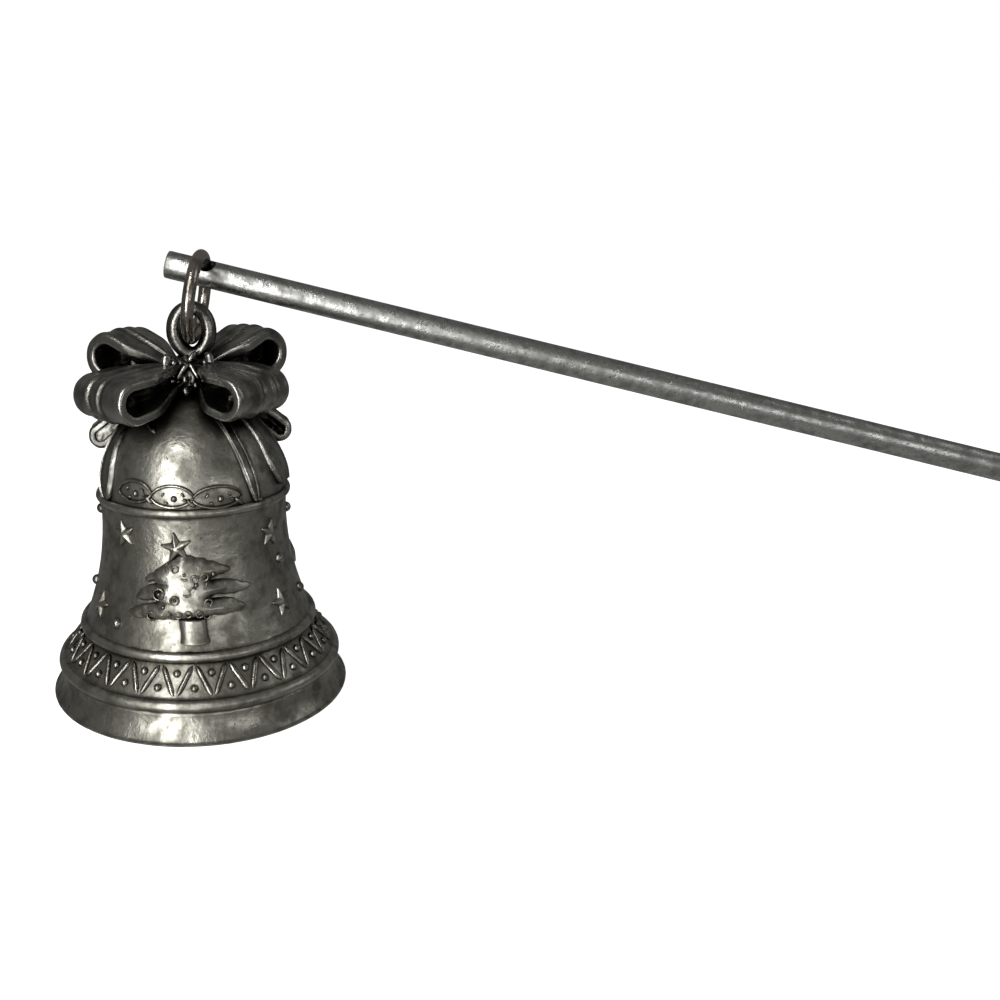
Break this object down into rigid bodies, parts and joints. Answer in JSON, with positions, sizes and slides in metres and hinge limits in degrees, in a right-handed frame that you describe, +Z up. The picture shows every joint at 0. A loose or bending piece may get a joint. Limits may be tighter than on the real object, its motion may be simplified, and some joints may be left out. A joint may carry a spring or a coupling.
{
  "type": "candle snuffer",
  "caption": "Bell-shaped candle snuffer with a ribbon bow on the crown, hung by a loose ring from a straight round handle rod.",
  "frame": {"origin": "centre of the bell's mouth, on the table plane the rim stands on", "axes": "+Z up along the bell, +X along the handle's heading on the table, -Y toward the side with the tree"},
  "size_m": [0.2097, 0.036, 0.0517],
  "materials": {
    "bell_metal": "antiqued pewter casting, satin with dark patina in the recesses",
    "relief_metal": "antiqued pewter relief, rubbed bright on its high edges",
    "ribbon_metal": "antiqued pewter, polished edges, dark hollows",
    "ring_wire": "round wire, semi-bright",
    "handle_metal": "round bar, satin"
  },
  "bodies": {
    "bell": {"bell_shell": "bell_metal", "zigzag_bars": "relief_metal", "zigzag_dots": "relief_metal", "tree_boughs": "relief_metal", "tree_trunks": "relief_metal", "tree_toppers": "relief_metal", "tree_baubles": "relief_metal", "star_studs": "relief_metal", "bead_studs": "relief_metal", "dome_ovals": "relief_metal", "dome_dots": "relief_metal", "ribbon_tail_front_left": "ribbon_metal", "ribbon_tail_front_right": "ribbon_metal", "ribbon_tail_side_right": "ribbon_metal", "ribbon_tail_rear": "ribbon_metal", "bow_knot": "ribbon_metal", "hanging_eye": "ribbon_metal", "bow_loop_front_left": "ribbon_metal", "bow_loop_front_right": "ribbon_metal", "bow_loop_rear_left": "ribbon_metal", "bow_loop_rear_right": "ribbon_metal", "bow_side_loop_left": "ribbon_metal", "bow_side_loop_right": "ribbon_metal"},
    "ring": {"jump_ring": "ring_wire"},
    "handle": {"handle_rod": "handle_metal"}
  },
  "joints": [
    {"name": "ring_swing", "type": "hinge", "parent": "bell", "child": "ring", "pos_m": [0.00054, 0.0001, 0.04187], "axis": [-0.0275, -0.9996, 0], "range_deg": [0, 40]},
    {"name": "handle_swivel", "type": "hinge", "parent": "ring", "child": "handle", "pos_m": [0.00175, 0.00378, 0.04886], "axis": [0.2008, -0.5592, 0.8043], "range_deg": [0, 40]}
  ]
}
